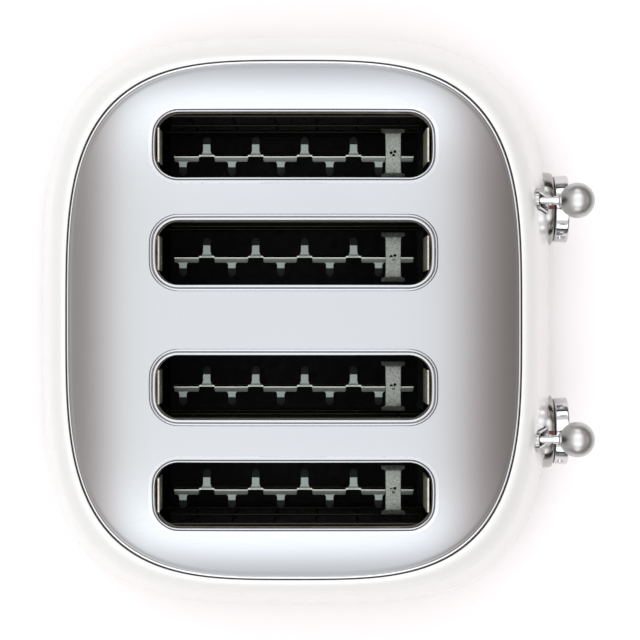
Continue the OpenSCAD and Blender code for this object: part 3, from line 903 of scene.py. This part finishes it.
# How far each rack lies from its CAD line, in millimetres, from slot 1 to slot 4
RAIL_SHIFTS = [2.0, 1.6, 1.6, 0.1]
rail, slopes = rack_rail(RACK_Y[0]), rack_slopes(RACK_Y[0])
# The flat top takes the light copy, painted light; the slopes and tabs take the darker copy, painted
# shade.
dress(rail, RACK_TOP_LIT)
dress(slopes, RACK_SLOPE_SHADE)
for index in (1, 2, 3, 4):
    step = RACK_Y[index - 1] - RACK_Y[0] + RAIL_SHIFTS[index - 1]
    side_name = "left" if index < 3 else "right"
    pair = [(rail, f"rack_rail_{index}"), (slopes, f"rack_tabs_{index}")]
    for piece, name in pair:
        made = copied(piece, name, step)
        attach(made, f"lever_{side_name}")
        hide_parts(f"bread_rack_{index}")
for piece in (rail, slopes):
    bpy.data.objects.remove(piece, do_unlink=True)
print("racks at y", [round(y, 1) for y in RACK_Y])

# %% [markdown]
# A cross bracket of spangled sheet lies over each rack near its front end. It has
# wide ends that dip at the slot's sides, a waist, and a pierced clover in its middle.

# %% Cross brackets
BRACKET_X, BRACKET_HALF, BRACKET_Z = MID_X + 53.7, 13.4, RACK_Z + 1.0
BRACKET_SHIFT = 0.9


def cross_bracket(y0):
    plan = [(0.0, 4.2, 0.0), (2.4, 4.2, 0.0), (6.0, 4.25, 0.0), (10.4, 4.3, 0.0), (11.0, 4.7, -0.1),
            (11.4, 6.3, -0.3), (12.4, 6.5, -0.9), (BRACKET_HALF, 6.4, -1.8)]
    half = [(BRACKET_X, w, y0 + y, BRACKET_Z + z) for y, w, z in plan]
    mirrored = [(BRACKET_X, w, y0 - y, BRACKET_Z + z) for y, w, z in plan[:0:-1]]
    piece = bar("bracket", mirrored + half, 1.0)
    for dx, dy in ((0.9, 0.9), (-1.1, 0.3), (0.2, -1.2)):
        def place(i, j, dx=dx, dy=dy):
            turn = 2 * math.pi * i / 20
            return (BRACKET_X + dx + 0.85 * math.cos(turn), y0 + dy + 0.85 * math.sin(turn),
                    BRACKET_Z + (-3, 3)[j])
        cut(piece, rolled_sheet("punch", 20, 2, place, fill=True))
    smooth(piece, 20)
    return piece


for index, side_name in enumerate(("left", "right")):
    pair = [cross_bracket(y - BRACKET_SHIFT) for y in SLOT_Y[2 * index : 2 * index + 2]]
    piece = joined(f"spangled_brackets_{side_name}", pair)
    dress(piece, BRACKET_ZINC)
    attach(piece, f"lever_{side_name}")
    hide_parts(f"cross_brackets_{side_name}")
print("brackets", 2 * BRACKET_HALF, "mm long")

# %% [markdown]
# Just inside both ends of every slot stands the bright edge of the chassis liner.

# %% Liner plates


def liner(name, x, y0, low):
    def place(i, j):
        thick, half = 0.8, 9.0
        corners = [(0, -half), (thick, -half), (thick, half), (0, half)]
        dx, dy = corners[i]
        z = (low, 195.6, 197.0)[j]
        return x + dx + (0.3 if j == 2 else 0), y0 + dy * (1 if j < 2 else 0.99), z

    return rolled_sheet(name, 4, 3, place, fill=True)


for index, y_mid in enumerate(SLOT_Y, 1):
    for name, x, low in ((f"liner_rear_{index}", MID_X - 71.5, 170.0),
                         (f"liner_front_{index}", MID_X + 69.8, 152.0)):
        plate = liner(name, x, y_mid, low)
        dress(plate, LINER)
        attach(plate, "root")
print("liner plates in", len(SLOT_Y), "slots")

# %% [markdown]
# The base ring is a chromed moulding with a soft outer edge. Its back is cut open for
# the two crumb trays.

# %% Base ring
RING_LO, RING_HI = mm_box("base_ring")
ring_inset = HALF_L - (RING_HI[0] - RING_LO[0]) / 2
ring_section = (
    [(ring_inset + 7.0, RING_LO[2])]
    + arc((ring_inset + 1.6, RING_LO[2] + 1.6), 1.6, 270, 180, 6)
    + arc((ring_inset + 1.0, RING_HI[2] - 1.0), 1.0, 180, 90, 5)
    + [(ring_inset + 7.0, RING_HI[2])]
)
ring = wrap("chrome_base_ring", ring_section)
dress(ring, CHROME)


def tray_punch(side):
    lo, hi = mm_box(f"crumb_tray_{side}")
    corners = [(lo[1] - 0.3, lo[2] - 0.4), (hi[1] + 0.3, lo[2] - 0.4),
               (hi[1] + 0.3, hi[2] + 0.4), (lo[1] - 0.3, hi[2] + 0.4)]

    def place(i, j):
        y, z = corners[i]
        return (SHELL_LO[0] - 20, MID_X)[j], y, z

    return rolled_sheet("punch", 4, 2, place, fill=True)


for side in SIDES:
    cut(ring, tray_punch(side))
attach(ring, "root")
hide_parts("base_ring")
print("base ring", len(ring.data.polygons), "faces")

# %% [markdown]
# Trim on the front comes next. A satin chrome frame goes round each lever slot. It
# follows the slot's outline and leans with the wall behind it.

# %% Lever frames


def lever_frame(side_name, side):
    wall, proud, depth = 1.6, 1.5, 6.5
    radius = 0.7
    length = FRAME_Z1 - FRAME_Z0
    section = [(0.0, proud - depth)]
    section += [(-radius + radius * c, proud - radius + radius * s)
                for c, s in [(math.cos(math.radians(15 * k)), math.sin(math.radians(15 * k)))
                             for k in range(7)]]
    section += [(-wall + radius - radius * c, proud - radius + radius * s)
                for c, s in [(math.cos(math.radians(15 * k)), math.sin(math.radians(15 * k)))
                             for k in range(6, -1, -1)]]
    section += [(-wall, proud - depth)]

    def place(i, j):
        grow, out = section[j % len(section)]
        across, up = stadium_point(FRAME_W + 2 * grow, length + 2 * grow, i / 96)
        return on_wall(side, across, up, out)

    return rolled_sheet(f"chrome_slot_frame_{side_name}", 96, len(section) + 1, place)


for side_name, side in SIDES.items():
    piece = lever_frame(side_name, side)
    dress(piece, BEZEL_STEEL)
    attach(piece, "root")
    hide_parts(f"lever_frame_{side_name}")
print("lever frames lean", round(math.degrees(FRAME_LEAN), 1), "degrees")

# %% [markdown]
# Behind each dial lies a satin ring with a red index mark in its top. Rings and dials
# are turned on a lathe: a section is swept about the X axis. A drill from the side of
# the dial meets its grub screw.

# %% Dials and bezels
KNOB_LO, KNOB_HI = mm_box("dial_knob_right")
KNOB_R = (KNOB_HI[2] - KNOB_LO[2]) / 2
KNOB_T = KNOB_HI[0] - KNOB_LO[0]
MARK_W = 2.2


def round_section(points, radius, steps=5):
    """Rounds the corners of an open section of (x, radius) points."""
    out = [points[0]]
    for before, at, after in zip(points, points[1:], points[2:]):
        lengths = [math.dist(at, before), math.dist(at, after)]
        r = min(radius, lengths[0] / 2.2, lengths[1] / 2.2)
        a = [at[n] + (before[n] - at[n]) * r / lengths[0] for n in (0, 1)]
        b = [at[n] + (after[n] - at[n]) * r / lengths[1] for n in (0, 1)]
        for k in range(steps + 1):
            t = k / steps
            out.append(tuple(
                (1 - t) ** 2 * a[n] + 2 * t * (1 - t) * at[n] + t * t * b[n] for n in (0, 1)
            ))
    out.append(points[-1])
    return out


def bezel(side_name, side):
    r = BEZEL_D / 2
    depth = BEZEL_HI[0] - BEZEL_LO[0]
    crown = [(depth / 2 - depth / 2 * math.cos(math.radians(a)),
              r - 1.5 + 1.5 * math.sin(math.radians(a)) ** 0.7) for a in range(0, 181, 10)]
    section = [(0, r - 3)] + crown + [
        (depth, r - 2.2), (depth - 0.8, r - 3.0), (depth - 0.8, 5.0), (depth - 3, 5.0),
        (depth - 3, r - 3), (0, r - 3)]
    return lathe(f"dial_ring_{side_name}", (BEZEL_LO[0], side * CONTROL_Y, DIAL_Z), section, 128)


def dial(side_name, side):
    r, t = KNOB_R, KNOB_T
    section = [(0.0, 3.1)] + round_section(
        [(0.0, 3.1), (0.0, r - 0.6), (t, r), (t, r - 3.2), (t - 0.9, r - 4.6), (t - 0.9, 0.0)],
        1.3, 7,
    )
    section[-1] = (t - 0.9, 0.01)
    piece = lathe(f"dial_{side_name}", (KNOB_LO[0], side * CONTROL_Y, DIAL_Z), section, 128)
    close_mesh(piece, True)
    cut(piece, grub_punch(side_name, side))
    return piece


def grub_punch(side_name, side):
    """A drill from the side of the dial, in line with its grub screw."""
    lo, hi = mm_box(f"grub_screw_{side_name}")
    middle = [(a + b) / 2 for a, b in zip(lo, hi)]
    y, z = middle[1] - side * CONTROL_Y, middle[2] - DIAL_Z
    reach = math.hypot(y, z)
    y, z = y / reach, z / reach

    def place(i, j):
        turn = 2 * math.pi * i / 24
        dx, dw, r = 1.2 * math.cos(turn), 1.2 * math.sin(turn), (reach, KNOB_R + 2)[j]
        return (
            middle[0] + dx, side * CONTROL_Y + r * y - dw * z, DIAL_Z + r * z + dw * y
        )

    return rolled_sheet("punch", 24, 2, place, fill=True)


def index_mark(side_name, side):
    """A small bar of enamel that lies in the top of the ring and follows its curve."""
    depth = 5.2
    x1 = BEZEL_HI[0] - 0.4
    r = BEZEL_D / 2 + 0.05
    rows = [(x1 - depth, r - 0.6), (x1 - depth, r), (x1, r), (x1, r - 0.6)]
    half = MARK_W / 2 / r

    def place(i, j):
        x, radius = rows[i]
        turn = math.pi / 2 - half + 2 * half * j / 6
        return x, side * CONTROL_Y + radius * math.cos(turn), DIAL_Z + radius * math.sin(turn)

    return rolled_sheet(f"index_mark_{side_name}", 4, 7, place, fill=True)


for side_name, side in SIDES.items():
    ring_piece = bezel(side_name, side)
    dress(ring_piece, BEZEL_STEEL)
    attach(ring_piece, "root")
    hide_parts(f"dial_bezel_{side_name}")
    knob = dial(side_name, side)
    dress(knob, CHROME)
    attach(knob, f"dial_{side_name}")
    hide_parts(f"dial_knob_{side_name}")
    mark = index_mark(side_name, side)
    dress(mark, RED_ENAMEL)
    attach(mark, "root")
print("dials", round(2 * KNOB_R, 1), "mm across")

# %% [markdown]
# The levers end in satin chrome balls. A ball is a half circle turned about its rod,
# with a short neck where it screws on. The push buttons are turned too. Their caps are
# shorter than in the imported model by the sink, so they stand out of the wall less.

# %% Ball knobs and buttons
BUTTON_SINK = 1.5


def ball(side_name, side):
    lo, hi = mm_box(f"ball_knob_{side_name}")
    r = (hi[2] - lo[2]) / 2
    x0 = hi[0] - r
    neck = 3.4
    start = 180 - math.degrees(math.asin(neck / r))
    section = [(-r - 0.5, 1.84), (-r - 0.5, neck - 0.4), (-r - 0.2, neck)]
    section += [(x, radius) for x, radius in arc((0, 0), r, start, 0, 48)]
    section[-1] = (r, 0.005)
    piece = lathe(f"polished_ball_{side_name}", (x0, side * CONTROL_Y, (lo[2] + hi[2]) / 2),
                  section, 96, 60)
    close_mesh(piece, True)
    return piece


def button_cap(name):
    lo, hi = mm_box(name)
    r = 3.0
    length = hi[0] - lo[0] - BUTTON_SINK
    section = round_section(
        [(0, 0.01), (0, 2.0), (7, 2.0), (7, 4.2), (9, 4.2), (9, r), (length, r),
         (length, 0.01)], 0.8
    )
    centre = (lo[0], (lo[1] + hi[1]) / 2, (lo[2] + hi[2]) / 2)
    piece = lathe(f"{name}_cap", centre, section, 48)
    close_mesh(piece, True)
    return piece


for side_name, side in SIDES.items():
    piece = ball(side_name, side)
    dress(piece, BALL_CHROME)
    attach(piece, f"lever_{side_name}")
    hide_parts(f"ball_knob_{side_name}")
for name in BUTTONS:
    piece = button_cap(name)
    dress(piece, BEZEL_STEEL)
    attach(piece, name)
    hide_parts(name)
print(len(SIDES), "balls and", len(BUTTONS), "buttons")

# %% [markdown]
# The studio is one big soft sky over a floor. The sky is bright overhead, where a soft
# box would hang. It falls to a warm grey about 50 degrees down, sooner on the side of
# the controls. A paler band, a black line and a dim horizon follow. Metal shows little
# but what it reflects, so this gradient draws the panel and the balls. Each stop is a
# pair: degrees from straight up, and a colour.

# %% Sky


def sky_angle(tree, parts, axis, fold):
    """How far a direction leans from straight up along one axis: 0 to 1 for 180 degrees."""
    side = parts.outputs[axis]
    if fold:
        side = add_node(tree, "ShaderNodeMath", {"operation": "ABSOLUTE"}, {0: side}).outputs[0]
    angle = add_node(
        tree, "ShaderNodeMath", {"operation": "ARCTAN2"}, {0: side, 1: parts.outputs["Z"]}
    )
    low = 0.0 if fold else -math.pi / 2
    ranged = add_node(
        tree, "ShaderNodeMapRange", {"From Min": low, "From Max": math.pi / 2},
        {"Value": angle.outputs[0]},
    )
    return ranged.outputs["Result"]


def studio_sky():
    world = bpy.data.worlds.new("studio_sky")
    bpy.context.scene.world = world
    world.use_nodes = True
    tree = world.node_tree
    background = tree.nodes["Background"]
    direction = add_node(tree, "ShaderNodeTexCoord").outputs["Generated"]
    parts = add_node(tree, "ShaderNodeSeparateXYZ", None, {"Vector": direction})
    lengthwise = [(a / 180 + 0.5, c) for a, c in (
        (-90, "#5a5a5a"), (-83, "#505050"), (-79, "#0c0c0c"), (-75, "#0c0c0c"), (-71, "#a9a8a7"),
        (-60, "#bebcbb"), (-50, "#857d7a"), (-42, "#9a918e"), (-34, "#cbc5c3"), (-27, "#eceded"),
        (0, "#f0f1f4"), (15, "#ecedef"), (21, "#e2e1e2"), (26, "#c9c3c1"), (33, "#a09794"),
        (40, "#877d7a"), (50, "#665e5c"), (62, "#a39d9b"), (71, "#b5b0ae"), (75, "#0c0c0c"),
        (79, "#0c0c0c"), (83, "#606060"), (90, "#6a6a6a"),
    )]
    crosswise = [(a / 90, c) for a, c in (
        (0, "#bcbcbc"), (16, "#c0c0c0"), (28, "#e2e4e6"), (34, "#e4e6e8"), (40, "#b4b3b2"),
        (45, "#8a8989"), (52, "#8a8a8a"), (60, "#dadada"), (71, "#e2e2e2"), (75, "#0c0c0c"),
        (79, "#0c0c0c"), (83, "#606060"), (90, "#6a6a6a"),
    )]
    along = ramp_colours(tree, sky_angle(tree, parts, "X", False), lengthwise)
    across = ramp_colours(tree, sky_angle(tree, parts, "Y", True), crosswise)
    product = add_node(
        tree, "ShaderNodeVectorMath", {"operation": "MULTIPLY"}, {0: along, 1: across}
    )
    corner = add_node(
        tree, "ShaderNodeMath", {"operation": "MULTIPLY"},
        {0: parts.outputs["X"], 1: parts.outputs["Y"]},
    )
    size = add_node(tree, "ShaderNodeMath", {"operation": "ABSOLUTE"}, {0: corner.outputs[0]})
    dimmed = add_node(
        tree, "ShaderNodeMapRange",
        {"interpolation_type": "SMOOTHSTEP", "From Min": 0.12, "From Max": 0.3, "To Min": 1.0,
         "To Max": 0.8},
        {"Value": size.outputs[0]},
    )
    shaped = add_node(
        tree, "ShaderNodeVectorMath", {"operation": "SCALE"}, {0: product.outputs["Vector"]}
    )
    tree.links.new(dimmed.outputs["Result"], shaped.inputs["Scale"])
    tree.links.new(shaped.outputs["Vector"], background.inputs["Color"])
    background.inputs["Strength"].default_value = 4.3


studio_sky()
print("sky", bpy.context.scene.world.name)

# %% [markdown]
# The floor is matt paint with a painted pool of light: its colour is palest near the object and
# fades to grey further out, between two distances in metres, so that no edge shows.

# %% Floor
POOL_NEAR, POOL_FAR = 0.29, 1.1
bpy.ops.mesh.primitive_grid_add(x_subdivisions=8, y_subdivisions=8, size=40.0)
floor = bpy.context.object
floor.name = "pale_floor"
floor_material, floor_tree, floor_shader = new_material("floor_painted_light_pool", {"Roughness": 0.9})
floor_place = object_place(floor_tree)
reach = add_node(floor_tree, "ShaderNodeVectorMath", {"operation": "LENGTH"}, {0: floor_place})
pool = add_node(
    floor_tree, "ShaderNodeMapRange",
    {"interpolation_type": "SMOOTHSTEP", "From Min": POOL_NEAR, "From Max": POOL_FAR, "To Min": 1.0,
     "To Max": 0.0},
    {"Value": reach.outputs["Value"]},
).outputs["Result"]
# Painted pool of light: the colour is pale near the object and grey far out.
painted_pool = blend_colours(floor_tree, pool, "#8b8a89", "#fbf8f8")
floor_tree.links.new(painted_pool, floor_shader.inputs["Base Color"])
dress(floor, floor_material)
print("floor pale to", POOL_NEAR, "m, grey from", POOL_FAR, "m")

# %% [markdown]
# The camera looks straight down at the table. A new camera points down by itself, so
# it only needs a place. Its lens is long, so that the object fills the frame.

# %% Camera
CAMERA_H = 1400.0
CAMERA_SHIFT_X = 13.8
SENSOR, LENS = 36.0, 129.2
camera_data = bpy.data.cameras.new("camera")
camera_data.sensor_width = SENSOR
camera_data.lens = LENS
camera_data.clip_end = 100.0
camera = bpy.data.objects.new("camera", camera_data)
camera.location = ((MID_X + CAMERA_SHIFT_X) * MM, 0.0, CAMERA_H * MM)
bpy.context.scene.collection.objects.link(camera)
bpy.context.scene.camera = camera
bpy.context.scene.view_settings.view_transform = "Standard"
print("camera", CAMERA_H, "mm up, lens", LENS, "mm")
